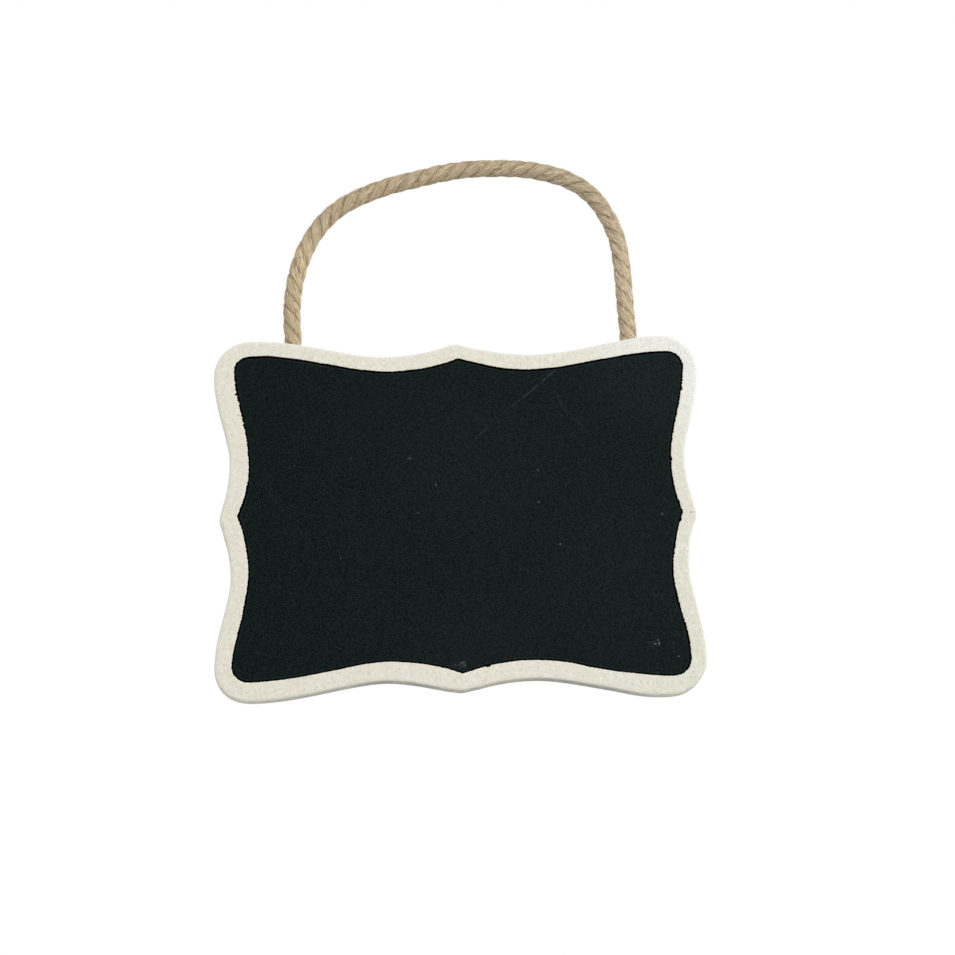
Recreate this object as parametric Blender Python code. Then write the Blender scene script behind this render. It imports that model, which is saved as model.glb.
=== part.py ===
"""A small hanging chalkboard: a scalloped frame, its writing panel and back board,
and a rope loop whose two ends are stapled to the back.

Metres, +Z up. The front faces -Y. The origin is the underside of the rope loop above
the middle of the board, where a hook or a nail carries it.
"""

import math
from typing import NamedTuple

import bmesh
import bpy
from mathutils import Matrix, Vector

# Opening of the frame, at the crests of its corners
OPENING_LENGTH = 0.1658
OPENING_HEIGHT = 0.1213
OPENING_CORNER_RADIUS = 0.0060

# Scallops: the cusp in the middle of a side and the round sags beside it,
# measured in from the crests
LONG_CUSP_DROP = 0.0021
LONG_SAG_DEPTH = 0.0065
LONG_SAG_PLACE = 0.0263
SHORT_CUSP_DROP = 0.0016
SHORT_SAG_DEPTH = 0.0056
SHORT_SAG_PLACE = 0.0213
SAG_HANDLE_SHARE = 0.30
CORNER_HANDLE_SHARE = 0.34

# The opening sits a little to the right and high in the frame, and slightly turned
OPENING_SHIFT_X = 0.0005
OPENING_SHIFT_Z = 0.00075
OPENING_TURN_DEG = 0.3

# The board hangs a little to the right of the hook
BOARD_SHIFT_X = 0.0004

# Layers, from the back board forwards
BACK_THICKNESS = 0.0030
FRAME_THICKNESS = 0.0030
PANEL_RECESS = 0.0006
BORDER_WIDTH = 0.00625
OUTER_CORNER_RADIUS = 0.0134
FRONT_ROUNDING = 0.0012
BACK_ROUNDING = 0.0006
LAYER_GAP = 0.0003
PANEL_SIDE_GAP = 0.0004

# Rope
ROPE_DIAMETER = 0.0064
ROPE_END_LENGTH = 0.0260
ROPE_GAP = 0.0003
FOLD_CLEARANCE = 0.0005
ROPE_STEP_DIAMETERS = 2.0

# Middle line of the free rope, left exit to right exit, as X and Z
LOOP_ROUTE = [
    (-0.0599, -0.0606),
    (-0.0602, -0.0517),
    (-0.0594, -0.0419),
    (-0.0571, -0.0323),
    (-0.0532, -0.0233),
    (-0.0474, -0.0153),
    (-0.0398, -0.0091),
    (-0.0311, -0.0049),
    (-0.0220, -0.0018),
    (-0.0127, 0.0005),
    (-0.0034, 0.0026),
    (0.0061, 0.0040),
    (0.0157, 0.0043),
    (0.0253, 0.0040),
    (0.0348, 0.0025),
    (0.0440, -0.0005),
    (0.0521, -0.0059),
    (0.0580, -0.0139),
    (0.0619, -0.0231),
    (0.0635, -0.0329),
    (0.0642, -0.0427),
    (0.0646, -0.0525),
    (0.0652, -0.0606),
]

# Staples over the rope ends
STAPLE_CROWN = 0.0106
STAPLE_WIRE_WIDTH = 0.0012
STAPLE_WIRE_THICKNESS = 0.0007
STAPLE_BEND_RADIUS = 0.0006
STAPLE_SOCKET_GAP = 0.0003
STAPLE_BITE_SHARE = 0.8
STAPLE_PLACE_SHARES = {"upper": 0.28, "lower": 0.72}

# Steps along the curves
CUSP_STEPS = 4
SAG_STEPS = 8
RISE_STEPS = 8
CORNER_STEPS = 6
ROUNDING_STEPS = 3
ROUTE_STEPS = 12
BALL_STEPS = 4
BEND_STEPS = 3
ROPE_BEVEL_RESOLUTION = 4
SMOOTH_ANGLE_DEG = 35

# Places that follow
ROPE_RADIUS = ROPE_DIAMETER / 2
BACK_FACE_Y = -(ROPE_RADIUS + ROPE_GAP)
BACK_FRONT_Y = BACK_FACE_Y - BACK_THICKNESS
FRAME_BACK_Y = BACK_FRONT_Y - LAYER_GAP
FRAME_FRONT_Y = FRAME_BACK_Y - FRAME_THICKNESS
PANEL_FRONT_Y = FRAME_FRONT_Y + PANEL_RECESS
HINGE_Z = LOOP_ROUTE[0][1]
BOARD_TOP_Z = HINGE_Z - ROPE_RADIUS - FOLD_CLEARANCE
BOARD_CENTRE_Z = BOARD_TOP_Z - OPENING_HEIGHT / 2 - BORDER_WIDTH
ROPE_END_TOP_Z = HINGE_Z - ROPE_RADIUS - ROPE_GAP
EXITS = {"left": LOOP_ROUTE[0][0], "right": LOOP_ROUTE[-1][0]}

# Colour, roughness and metallic value of each material
FINISHES = {
    "frame_paint": ((0.76, 0.73, 0.64), 0.62, 0.0),
    "chalkboard_coat": ((0.010, 0.014, 0.014), 0.85, 0.0),
    "raw_board": ((0.40, 0.27, 0.16), 0.80, 0.0),
    "jute": ((0.50, 0.37, 0.21), 0.90, 0.0),
    "staple_wire": ((0.62, 0.61, 0.58), 0.30, 1.0),
}


class Side(NamedTuple):
    """One scalloped side, from its middle to a corner of the opening."""

    half_length: float
    crest: float
    cusp_drop: float
    sag_depth: float
    sag_place: float


LONG_SIDE = Side(
    OPENING_LENGTH / 2, OPENING_HEIGHT / 2, LONG_CUSP_DROP, LONG_SAG_DEPTH, LONG_SAG_PLACE
)
SHORT_SIDE = Side(
    OPENING_HEIGHT / 2, OPENING_LENGTH / 2, SHORT_CUSP_DROP, SHORT_SAG_DEPTH, SHORT_SAG_PLACE
)


# Outlines


def shares_of(steps):
    """Even shares from 0 to 1."""
    return [step / steps for step in range(steps + 1)]


def cusp_and_sag(side, offset):
    """The middle cusp and the round sag of a half side, grown outwards by offset."""
    cusp = side.crest - side.cusp_drop
    rise = side.sag_depth - side.cusp_drop
    sag_radius = (side.sag_place**2 + rise**2) / (2 * rise)
    centre = Vector((side.sag_place, side.crest - side.sag_depth + sag_radius))
    radius = sag_radius - offset
    cusp_angle = math.asin(side.sag_place / max(sag_radius, radius))
    points = []
    if offset > 0:
        turns = [cusp_angle * share for share in shares_of(CUSP_STEPS)[:-1]]
        points = [Vector((offset * math.sin(a), cusp + offset * math.cos(a))) for a in turns]
    for share in shares_of(SAG_STEPS):
        angle = cusp_angle * (share - 1)
        points.append(centre + radius * Vector((math.sin(angle), -math.cos(angle))))
    return points


def rise_to_corner(side, offset, corner_radius):
    """The S-curve from the bottom of the sag up to the crest of the corner."""
    start = Vector((side.sag_place, side.crest - side.sag_depth))
    end = Vector((side.half_length - corner_radius, side.crest))
    run = Vector((end.x - start.x, 0))
    knots = [start, start + SAG_HANDLE_SHARE * run, end - CORNER_HANDLE_SHARE * run, end]
    legs = [b - a for a, b in zip(knots, knots[1:])]
    points = []
    for t in shares_of(RISE_STEPS)[1:]:
        s = 1 - t
        place = s**3 * knots[0] + 3 * s * s * t * knots[1] + 3 * s * t * t * knots[2] + t**3 * knots[3]
        along = (s * s * legs[0] + 2 * s * t * legs[1] + t * t * legs[2]).normalized()
        points.append(place + offset * Vector((-along.y, along.x)))
    return points


def scallop_outline(offset, corner_radius):
    """The scalloped line, with this radius at its corners, grown outwards by offset."""
    long_half = cusp_and_sag(LONG_SIDE, offset) + rise_to_corner(LONG_SIDE, offset, corner_radius)
    short_half = cusp_and_sag(SHORT_SIDE, offset) + rise_to_corner(SHORT_SIDE, offset, corner_radius)
    centre = Vector((OPENING_LENGTH / 2 - corner_radius, OPENING_HEIGHT / 2 - corner_radius))
    corner = []
    for share in shares_of(CORNER_STEPS)[1:-1]:
        angle = math.pi / 2 * (1 - share)
        corner.append(centre + (corner_radius + offset) * Vector((math.cos(angle), math.sin(angle))))
    quarter = long_half + corner + [Vector((p.y, p.x)) for p in reversed(short_half)]
    right = quarter + [Vector((p.x, -p.y)) for p in reversed(quarter[:-1])]
    return right + [Vector((-p.x, p.y)) for p in reversed(right[1:-1])]


def outer_outline(offset):
    """The outline of both layers, as a closed loop of (x, z), at an offset from the line."""
    return scallop_outline(offset, OUTER_CORNER_RADIUS - BORDER_WIDTH)


def opening_outline(offset):
    """The outline of the opening, where it sits in the frame."""
    turn = Matrix.Rotation(math.radians(-OPENING_TURN_DEG), 2)
    shift = Vector((OPENING_SHIFT_X, OPENING_SHIFT_Z))
    return [turn @ point + shift for point in scallop_outline(offset, OPENING_CORNER_RADIUS)]


def rounded_levels(flat_y, deep_y, rounding):
    """Offset and Y of each loop of a plate's edge, rounded where it meets its flat face."""
    away = math.copysign(rounding, deep_y - flat_y)
    levels = []
    for share in shares_of(ROUNDING_STEPS):
        angle = math.pi / 2 * share
        inset = rounding * (1 - math.sin(angle))
        levels.append((BORDER_WIDTH - inset, flat_y + away * (1 - math.cos(angle))))
    return levels + [(BORDER_WIDTH, deep_y)]


# Meshes and objects


def material(name):
    """The named finish as a Principled material."""
    found = bpy.data.materials.get(name)
    if found:
        return found
    colour, roughness, metallic = FINISHES[name]
    made = bpy.data.materials.new(name)
    made.use_nodes = True
    made.diffuse_color = (*colour, 1)
    shader = made.node_tree.nodes["Principled BSDF"]
    shader.inputs["Base Color"].default_value = (*colour, 1)
    shader.inputs["Roughness"].default_value = roughness
    shader.inputs["Metallic"].default_value = metallic
    return made


def add_object(name, data, finish, parent=None, location=(0, 0, 0)):
    """Link a mesh or a curve under its parent, with its finish."""
    data.materials.append(material(finish))
    made = bpy.data.objects.new(name, data)
    bpy.context.scene.collection.objects.link(made)
    made.parent = parent
    made.location = location
    return made


def mesh_from(bm, name):
    """Close off a bmesh as a mesh with its faces out and its round parts smooth."""
    bmesh.ops.recalc_face_normals(bm, faces=bm.faces)
    mesh = bpy.data.meshes.new(name)
    bm.to_mesh(mesh)
    bm.free()
    mesh.shade_smooth()
    mesh.set_sharp_from_angle(angle=math.radians(SMOOTH_ANGLE_DEG))
    return mesh


def add_loop(bm, outline, y):
    """A closed loop of vertices at depth y."""
    return [bm.verts.new((point.x, y, point.y)) for point in outline]


def add_wall(bm, first, second):
    """A band of faces between two loops with as many vertices each."""
    for i, vert in enumerate(first):
        bm.faces.new((first[i - 1], vert, second[i], second[i - 1]))


def add_face_with_hole(bm, outer, inner):
    """A flat face between an outer and an inner loop."""
    edges = [bm.edges.get((loop[i - 1], loop[i])) for loop in (outer, inner) for i in range(len(loop))]
    bmesh.ops.triangle_fill(bm, use_beauty=True, use_dissolve=False, edges=edges)


def add_plate(bm, levels, outline):
    """Loops of a plate's edge, joined by walls. Returns the first and the last loop."""
    loops = [add_loop(bm, outline(offset), y) for offset, y in levels]
    for first, second in zip(loops, loops[1:]):
        add_wall(bm, first, second)
    return loops[0], loops[-1]


def box_mesh(name, low, high):
    """A box between two corners."""
    bm = bmesh.new()
    size = Vector(high) - Vector(low)
    centre = (Vector(high) + Vector(low)) / 2
    place = Matrix.Translation(centre) @ Matrix.Diagonal((*size, 1))
    bmesh.ops.create_cube(bm, size=1, matrix=place)
    return mesh_from(bm, name)


def rope_tube(name, points, radii, parent=None, location=(0, 0, 0)):
    """A closed tube through the points, each with its share of the rope's radius."""
    curve = bpy.data.curves.new(name, "CURVE")
    curve.dimensions = "3D"
    curve.bevel_depth = ROPE_RADIUS
    curve.bevel_resolution = ROPE_BEVEL_RESOLUTION
    curve.use_fill_caps = True
    spline = curve.splines.new("POLY")
    spline.points.add(len(points) - 1)
    spline.use_smooth = True
    for knot, point, radius in zip(spline.points, points, radii):
        knot.co = (*point, 1)
        knot.radius = radius
    return add_object(name, curve, "jute", parent, location)


# Frame, panel and back board


def add_frame_ring(board):
    """The scalloped ring that frames the panel, its front edge rounded."""
    bm = bmesh.new()
    levels = rounded_levels(FRAME_FRONT_Y, FRAME_BACK_Y, FRONT_ROUNDING)
    front, back = add_plate(bm, levels, outer_outline)
    opening = [(0, FRAME_FRONT_Y), (0, FRAME_BACK_Y)]
    inner_front, inner_back = add_plate(bm, opening, opening_outline)
    add_face_with_hole(bm, front, inner_front)
    add_face_with_hole(bm, back, inner_back)
    add_object("frame_ring", mesh_from(bm, "frame_ring"), "frame_paint", *board)


def add_chalk_panel(board):
    """The coated writing panel that fills the ring's opening, a little below its face."""
    bm = bmesh.new()
    levels = [(-PANEL_SIDE_GAP, PANEL_FRONT_Y), (-PANEL_SIDE_GAP, FRAME_BACK_Y)]
    for loop in add_plate(bm, levels, opening_outline):
        bm.faces.new(loop)
    add_object("chalk_panel", mesh_from(bm, "chalk_panel"), "chalkboard_coat", *board)


def add_back_board(board):
    """The board behind both, with a blind socket for each staple leg."""
    bm = bmesh.new()
    levels = rounded_levels(BACK_FACE_Y, BACK_FRONT_Y, BACK_ROUNDING)
    for loop in add_plate(bm, levels, outer_outline):
        bm.faces.new(loop)
    back = add_object("back_board", mesh_from(bm, "back_board"), "raw_board", *board)
    depth = STAPLE_BITE_SHARE * BACK_THICKNESS + STAPLE_SOCKET_GAP
    half_width = STAPLE_WIRE_WIDTH / 2 + STAPLE_SOCKET_GAP
    for side, level, place in staple_places():
        for sign in (-1, 1):
            leg_x = place.x + sign * (STAPLE_CROWN - STAPLE_WIRE_THICKNESS) / 2
            half_wire = STAPLE_WIRE_THICKNESS / 2 + STAPLE_SOCKET_GAP
            low = (leg_x - half_wire, BACK_FACE_Y - depth, place.z - half_width)
            high = (leg_x + half_wire, BACK_FACE_Y + ROPE_RADIUS, place.z + half_width)
            name = f"socket_cutter_{side}_{level}_{'a' if sign < 0 else 'b'}"
            cutter = add_object(name, box_mesh(name, low, high), "raw_board", *board)
            cutter.hide_render = True
            cutter.display_type = "WIRE"
            cut = back.modifiers.new(name, "BOOLEAN")
            cut.operation = "DIFFERENCE"
            cut.solver = "EXACT"
            cut.object = cutter


# Rope


def smooth_route():
    """Points along a Catmull-Rom curve through the loop's route, about evenly spaced."""
    knots = [Vector((x, 0, z)) for x, z in LOOP_ROUTE]
    knots = [2 * knots[0] - knots[1], *knots, 2 * knots[-1] - knots[-2]]
    fine = [knots[1]]
    for before, start, end, after in zip(knots, knots[1:], knots[2:], knots[3:]):
        for t in shares_of(ROUTE_STEPS)[1:]:
            bend = (2 * before - 5 * start + 4 * end - after) * t * t
            swing = (3 * start - before - 3 * end + after) * t**3
            fine.append((2 * start + (end - before) * t + bend + swing) / 2)
    lengths = [0.0]
    for a, b in zip(fine, fine[1:]):
        lengths.append(lengths[-1] + (b - a).length)
    steps = round(lengths[-1] / (ROPE_STEP_DIAMETERS * ROPE_DIAMETER))
    points = []
    for share in shares_of(steps)[:-1]:
        i = next(k for k, length in enumerate(lengths) if length > share * lengths[-1])
        part = (share * lengths[-1] - lengths[i - 1]) / (lengths[i] - lengths[i - 1])
        points.append(fine[i - 1].lerp(fine[i], part))
    return points + [fine[-1]]


def add_rope_loop():
    """The free rope. Its ends are balls on the fold's axis, so that it turns in place."""
    route = smooth_route()
    ball = []
    for share in shares_of(BALL_STEPS)[1:]:
        angle = math.pi / 2 * share * BALL_STEPS / (BALL_STEPS + 1)
        ball.append((Vector((0, 0, -ROPE_RADIUS * math.sin(angle))), math.cos(angle)))
    start = [(route[0] + down, radius) for down, radius in reversed(ball)]
    end = [(route[-1] + down, radius) for down, radius in ball]
    knots = start + [(point, 1) for point in route] + end
    rope_tube("rope_loop", [point for point, _ in knots], [radius for _, radius in knots])


def add_rope_end(side, swing):
    """A rope end that lies down the back of the board."""
    x = EXITS[side]
    top = Vector((x, 0, ROPE_END_TOP_Z - HINGE_Z))
    steps = round(ROPE_END_LENGTH / (ROPE_STEP_DIAMETERS * ROPE_DIAMETER))
    points = [top - Vector((0, 0, ROPE_END_LENGTH * share)) for share in shares_of(steps)]
    rope_tube(f"rope_end_{side}", points, [1] * len(points), swing)


# Staples


def staple_places():
    """Side, level and place of each staple, in the board's own frame."""
    for side, x in EXITS.items():
        for level, share in STAPLE_PLACE_SHARES.items():
            z = ROPE_END_TOP_Z - share * ROPE_END_LENGTH - BOARD_CENTRE_Z
            yield side, level, Vector((x - BOARD_SHIFT_X, 0, z))


def staple_outline():
    """Half of a staple's outline, as X out from its middle and Y back from the tips."""
    crown_back = ROPE_RADIUS + ROPE_GAP + STAPLE_WIRE_THICKNESS
    tip = BACK_FACE_Y - STAPLE_BITE_SHARE * BACK_THICKNESS
    outer, inner = STAPLE_CROWN / 2, STAPLE_CROWN / 2 - STAPLE_WIRE_THICKNESS
    outer_radius = STAPLE_BEND_RADIUS + STAPLE_WIRE_THICKNESS
    bend = Vector((outer - outer_radius, crown_back - outer_radius))
    half = []
    for share in shares_of(BEND_STEPS):
        angle = math.pi / 2 * (1 - share)
        half.append(bend + outer_radius * Vector((math.cos(angle), math.sin(angle))))
    half.append(Vector((outer, tip + STAPLE_WIRE_THICKNESS)))
    half.append(Vector((inner, tip)))
    for share in shares_of(BEND_STEPS):
        angle = math.pi / 2 * share
        half.append(bend + STAPLE_BEND_RADIUS * Vector((math.cos(angle), math.sin(angle))))
    return half


def add_staple(side, level, place, board):
    """A wire staple whose crown crosses the rope and whose legs sit in the back board."""
    half = staple_outline()
    outline = half + [Vector((-p.x, p.y)) for p in reversed(half)]
    bm = bmesh.new()
    ends = []
    for sign in (-1, 1):
        z = place.z + sign * STAPLE_WIRE_WIDTH / 2
        ends.append([bm.verts.new((place.x + p.x, p.y, z)) for p in outline])
    add_wall(bm, *ends)
    for loop in ends:
        bm.faces.new(loop)
    name = f"staple_{side}_{level}"
    add_object(name, mesh_from(bm, name), "staple_wire", *board)


def build():
    """Model the whole part."""
    for old in list(bpy.data.objects):
        bpy.data.objects.remove(old, do_unlink=True)
    swing = bpy.data.objects.new("board_swing_axis", None)
    bpy.context.scene.collection.objects.link(swing)
    swing.location = (0, 0, HINGE_Z)
    board = (swing, (BOARD_SHIFT_X, 0, BOARD_CENTRE_Z - HINGE_Z))
    add_frame_ring(board)
    add_chalk_panel(board)
    add_back_board(board)
    add_rope_loop()
    for side in EXITS:
        add_rope_end(side, swing)
    for side, level, place in staple_places():
        add_staple(side, level, place, board)


build()
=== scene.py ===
import math
import random
from functools import partialmethod
from math import cos, pi, radians, sin

import bpy
from mathutils import Matrix, Vector, noise


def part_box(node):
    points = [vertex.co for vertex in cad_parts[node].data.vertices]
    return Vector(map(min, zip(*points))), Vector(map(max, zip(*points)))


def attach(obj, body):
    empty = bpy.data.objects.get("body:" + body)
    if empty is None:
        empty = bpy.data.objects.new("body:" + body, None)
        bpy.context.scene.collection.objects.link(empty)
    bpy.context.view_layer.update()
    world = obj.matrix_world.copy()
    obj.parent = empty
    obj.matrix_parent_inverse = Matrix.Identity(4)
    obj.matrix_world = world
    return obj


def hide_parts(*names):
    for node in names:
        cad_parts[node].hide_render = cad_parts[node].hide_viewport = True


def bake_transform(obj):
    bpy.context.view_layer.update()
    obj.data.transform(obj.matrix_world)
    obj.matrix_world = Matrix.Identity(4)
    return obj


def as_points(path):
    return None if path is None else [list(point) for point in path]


# Looks of the small hanging chalkboard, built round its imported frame.
# Metres, +Z up. The front faces -Y and the origin is where a hook carries the rope.

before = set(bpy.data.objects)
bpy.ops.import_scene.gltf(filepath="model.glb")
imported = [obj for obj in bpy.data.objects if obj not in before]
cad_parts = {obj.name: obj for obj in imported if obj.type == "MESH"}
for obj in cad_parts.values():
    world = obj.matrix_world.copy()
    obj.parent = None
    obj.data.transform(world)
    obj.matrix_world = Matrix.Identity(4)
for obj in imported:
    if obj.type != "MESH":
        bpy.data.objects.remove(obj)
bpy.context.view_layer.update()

# The frame's unevenness draws on this seed
NOISE_SEED = 5
noise.seed_set(NOISE_SEED)

# Photograph
IMAGE_SIDE = 955
CAMERA_PLACE = (-0.0196, -1.0399, -0.3335)
CAMERA_AIM = (0.0075, -0.0098, -0.1170)
CAMERA_ROLL_DEG = -1.25
CAMERA_FOCAL_PIXELS = 2877
SENSOR_WIDTH_MM = 36

# Opening of the frame, at the crests of its corners
OPENING_LENGTH = 0.1658
OPENING_HEIGHT = 0.1213
OPENING_CORNER_RADIUS = 0.0060
BORDER_WIDTH = 0.00625
OUTER_CORNER_RADIUS = 0.0134

# Scallops: the cusp in the middle of a side and the round sags beside it
LONG_SIDE = {
    "half_length": OPENING_LENGTH / 2,
    "crest": OPENING_HEIGHT / 2,
    "cusp_drop": 0.0021,
    "sag_depth": 0.0065,
    "sag_place": 0.0263,
}
SHORT_SIDE = {
    "half_length": OPENING_HEIGHT / 2,
    "crest": OPENING_LENGTH / 2,
    "cusp_drop": 0.0016,
    "sag_depth": 0.0056,
    "sag_place": 0.0213,
}
SAG_HANDLE_SHARE = 0.30
CORNER_HANDLE_SHARE = 0.34
OPENING_SHIFT = Vector((0.0005, 0.00075))
OPENING_TURN_DEG = 0.3

# How far the hand-guided cuts stray: X and Z of the place, shift in X and Z, and reach
OPENING_STRAYS_MM = [
    (82.9, 60.6, 0.3, -0.1, 30),
    (-82.9, 60.6, 0.3, -0.2, 30),
    (82.9, -60.6, -0.2, 0.2, 30),
    (-82.9, -60.6, -0.5, -0.3, 30),
    (6, 57, 0.0, 0.3, 12),
    (-20, 55, 0.0, -0.3, 30),
    (-77, 60, 0.0, -0.5, 8),
    (-79, 42, 0.4, 0.0, 17),
    (-77, 12, 0.4, 0.0, 14),
    (-81, -41, 0.5, 0.0, 15),
    (-52, -57, 0.0, -0.5, 24),
    (3, -57, 0.0, -0.2, 9),
    (52, -57, 0.0, -0.4, 16),
    (82, -48, 0.3, 0.0, 16),
    (79, -8, 0.4, 0.0, 18),
    (78, 26, 0.5, 0.0, 27),
]
OUTER_STRAYS_MM = [
    (-55, 64, 0.0, 0.4, 26),
    (14, 62, 0.0, 0.4, 18),
    (50, 64, 0.0, -0.6, 24),
    (87, -3, -0.5, 0.0, 12),
    (85, -28, 0.5, 0.0, 20),
    (88, -60, -0.3, 0.1, 12),
    (67, -66, 0.0, -0.5, 14),
    (0, -65, 0.0, 0.6, 7),
    (-12, -62, 0.0, -0.6, 17),
    (-86, -62, -0.6, -0.5, 12),
    (-86, -28, 0.3, 0.0, 26),
    (-87, 0, 0.3, 0.0, 7),
]

# Points along each half of a side, from its cusp to the middle of the corner
LONG_POINTS = 330
SHORT_POINTS = 245
CURVE_STEPS = 40

# Edges of the layers
FRONT_ROUNDING = 0.0012
INNER_ROUNDING = 0.00022
SEAM_ROUNDING = 0.00020
SEAM_GAP = 0.00006
BACK_ROUNDING = 0.0006
PANEL_SIDE_GAP = 0.0006
PANEL_ROUNDING = 0.00020
PANEL_RIM = 0.0008
FLAT_STRIPS = 8
ROUNDING_STEPS = 5
SEAM_STEPS = 3

# Hand-made unevenness of the frame: amount and reach
UNEVENNESS = [(0.00006, 0.006), (0.000018, 0.0012)]

# The outer edge takes a painted highlight where it faces up and painted shade where it faces down,
# the shade less so towards its ends; these are the upward shares of its normal
HIGHLIGHT_ABOVE = -0.15
SHADE_BELOW = -0.35
SHADE_FADE = 0.6

# Rope
ROPE_DIAMETER = 0.0064
ROPE_RADIUS = ROPE_DIAMETER / 2
LAY_LENGTH = 0.0183
STRANDS = 3
STRAND_CENTRE = 0.00042
STRAND_RADIUS = 0.00280
CREASE_DEPTH = 0.00024
CREASE_SHARE = 0.08
LAY_WOBBLE = 0.30
LAY_WOBBLE_REACH = 0.016
LAY_UNITS = 100
ROPE_STEP = 0.0004
STRAND_STEPS = 36
AROUND = STRANDS * STRAND_STEPS
SWELL = 0.02
SWELL_REACH = 0.007
LUMP_REACH = 0.011
YARNS_PER_STRAND = 4
YARN_HEIGHT = 0.00022
YARN_HEIGHT_REACH = 0.004
YARN_SLANT = 154.0
YARN_WANDER = 0.8
YARN_WANDER_REACH = 0.006
YARN_TONE_REACH = 0.007
HAIR_HEIGHT = 0.00005
HAIR_REACH = 0.0016
ROPE_END_KNOTS = 3
BACK_CLEARANCE = 0.00003

# Rings that close a cut end: share of its width, and how far ahead of it
CUT_RINGS = [(0.94, 0.00018), (0.72, 0.00030), (0.35, 0.00024)]
CUT_MIDDLE = 0.0001
CUT_JITTER = 0.00012
CUT_JITTER_REACH = 0.0006

# Middle line of the free rope, left exit to right exit, as X and Z
LOOP_ROUTE = [
    (-0.0599, -0.0606), (-0.0602, -0.0517), (-0.0594, -0.0419), (-0.0571, -0.0323),
    (-0.0532, -0.0233), (-0.0474, -0.0153), (-0.0398, -0.0091), (-0.0311, -0.0049),
    (-0.0220, -0.0018), (-0.0127, 0.0005), (-0.0034, 0.0026), (0.0061, 0.0040),
    (0.0157, 0.0043), (0.0253, 0.0040), (0.0348, 0.0025), (0.0440, -0.0005),
    (0.0521, -0.0059), (0.0580, -0.0139), (0.0619, -0.0231), (0.0635, -0.0329),
    (0.0642, -0.0427), (0.0646, -0.0525), (0.0652, -0.0606),
]
ROUTE_STEPS = 24
BLEND_BELOW = 0.0040
BLEND_ABOVE = 0.0080

# Colours of the paint
CREAM = (0.780, 0.754, 0.636)
CREAM_BELOW = (0.788, 0.762, 0.650)
CREAM_RIGHT = (0.742, 0.738, 0.624)
# Colour of the painted highlight at the top right corner
CREAM_HIGHLIGHT = (0.850, 0.855, 0.795)
# Painted highlight for the upper edges and painted shade for the underside
PAINT_HIGHLIGHT = (0.90, 0.895, 0.850)
PAINT_SHADE = (0.36, 0.355, 0.330)
PAINT_MARK = (0.20, 0.19, 0.155)

# Colours of the writing coat
COAT_DARK = (0.0000, 0.0031, 0.0027)
COAT_PALE = (0.0083, 0.0164, 0.0154)
# Colour of the painted sheen and chalk haze
COAT_SHEEN_HAZE = (0.0250, 0.0370, 0.0350)
COAT_RIM = (0.0160, 0.0200, 0.0200)
COAT_SCRATCH = (0.090, 0.110, 0.104)
COAT_SMEAR = (0.080, 0.092, 0.088)
COAT_HOLE = (0.0004, 0.0008, 0.0008)

# Colours of the jute
JUTE_DARK = (0.43, 0.320, 0.185)
JUTE_PALE = (0.63, 0.495, 0.312)
JUTE_LIGHT = (0.84, 0.710, 0.480)
JUTE_SHADE = (0.29, 0.215, 0.120)
JUTE_DEEP = (0.15, 0.115, 0.070)
JUTE_PINK = (0.61, 0.450, 0.310)
JUTE_GREEN = (0.54, 0.49, 0.29)

# Tints that make the rope ruddier at the left and greyer at the right
JUTE_LEFT = (1.03, 0.965, 0.920)
JUTE_RIGHT = (0.99, 0.990, 1.030)

# Between these heights the loop takes painted shade, growing towards its arc, and between
# these lower ones its left leg does, near the board
ARC_SHADE_START = -0.035
ARC_SHADE_END = -0.005
SHADED_START = -0.030
SHADED_END = -0.052

# Loose fibres: seed, shortest and longest, and how deep their roots are
FIBRE_SEED = 41
FIBRES = 620
FIBRE_RADIUS = 0.000035
FIBRE_TAPER = 0.7
FIBRE_STEPS = 6
HAIR_LENGTHS = (0.0010, 0.0034)
HAIR_SUNK = 0.00012
HAIR_CLEARANCE = 0.0008
FUZZ = 5200
FUZZ_STEPS = 3
FUZZ_LENGTHS = (0.0004, 0.0010)
FUZZ_SUNK = 0.00010
END_FIBRES = 90
TUFT_LENGTHS = (0.0010, 0.0032)
TUFT_SUNK = 0.0003

# Staples
STAPLE_CROWN = 0.0106
STAPLE_WIRE_WIDTH = 0.0012
STAPLE_WIRE_THICKNESS = 0.0007
STAPLE_BEND_RADIUS = 0.0010
STAPLE_BEND_STEPS = 8
STAPLE_SECTION_STEPS = 16
STAPLE_FLATNESS = 0.45
STAPLE_PRESS = 0.0003
STAPLE_REACH = 0.0022
STAPLE_CLEARANCE = 0.00002
STAPLE_SAG = 0.00005
STAPLE_TIP_GAP = 0.0004

# Places read from the frame
BACK_FACE_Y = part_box("back_board")[1][1]
BACK_FRONT_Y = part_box("back_board")[0][1]
FRAME_BACK_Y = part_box("frame_ring")[1][1]
FRAME_FRONT_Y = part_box("frame_ring")[0][1]
PANEL_FRONT_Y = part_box("chalk_panel")[0][1]
CENTRE_X = (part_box("frame_ring")[0][0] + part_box("frame_ring")[1][0]) / 2
CENTRE_Z = (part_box("frame_ring")[0][2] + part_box("frame_ring")[1][2]) / 2
ROPE_END_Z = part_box("rope_end_left")[0][2]
HINGE_Z = LOOP_ROUTE[0][1]
SEAM_Y = (BACK_FRONT_Y + FRAME_BACK_Y) / 2

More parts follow.
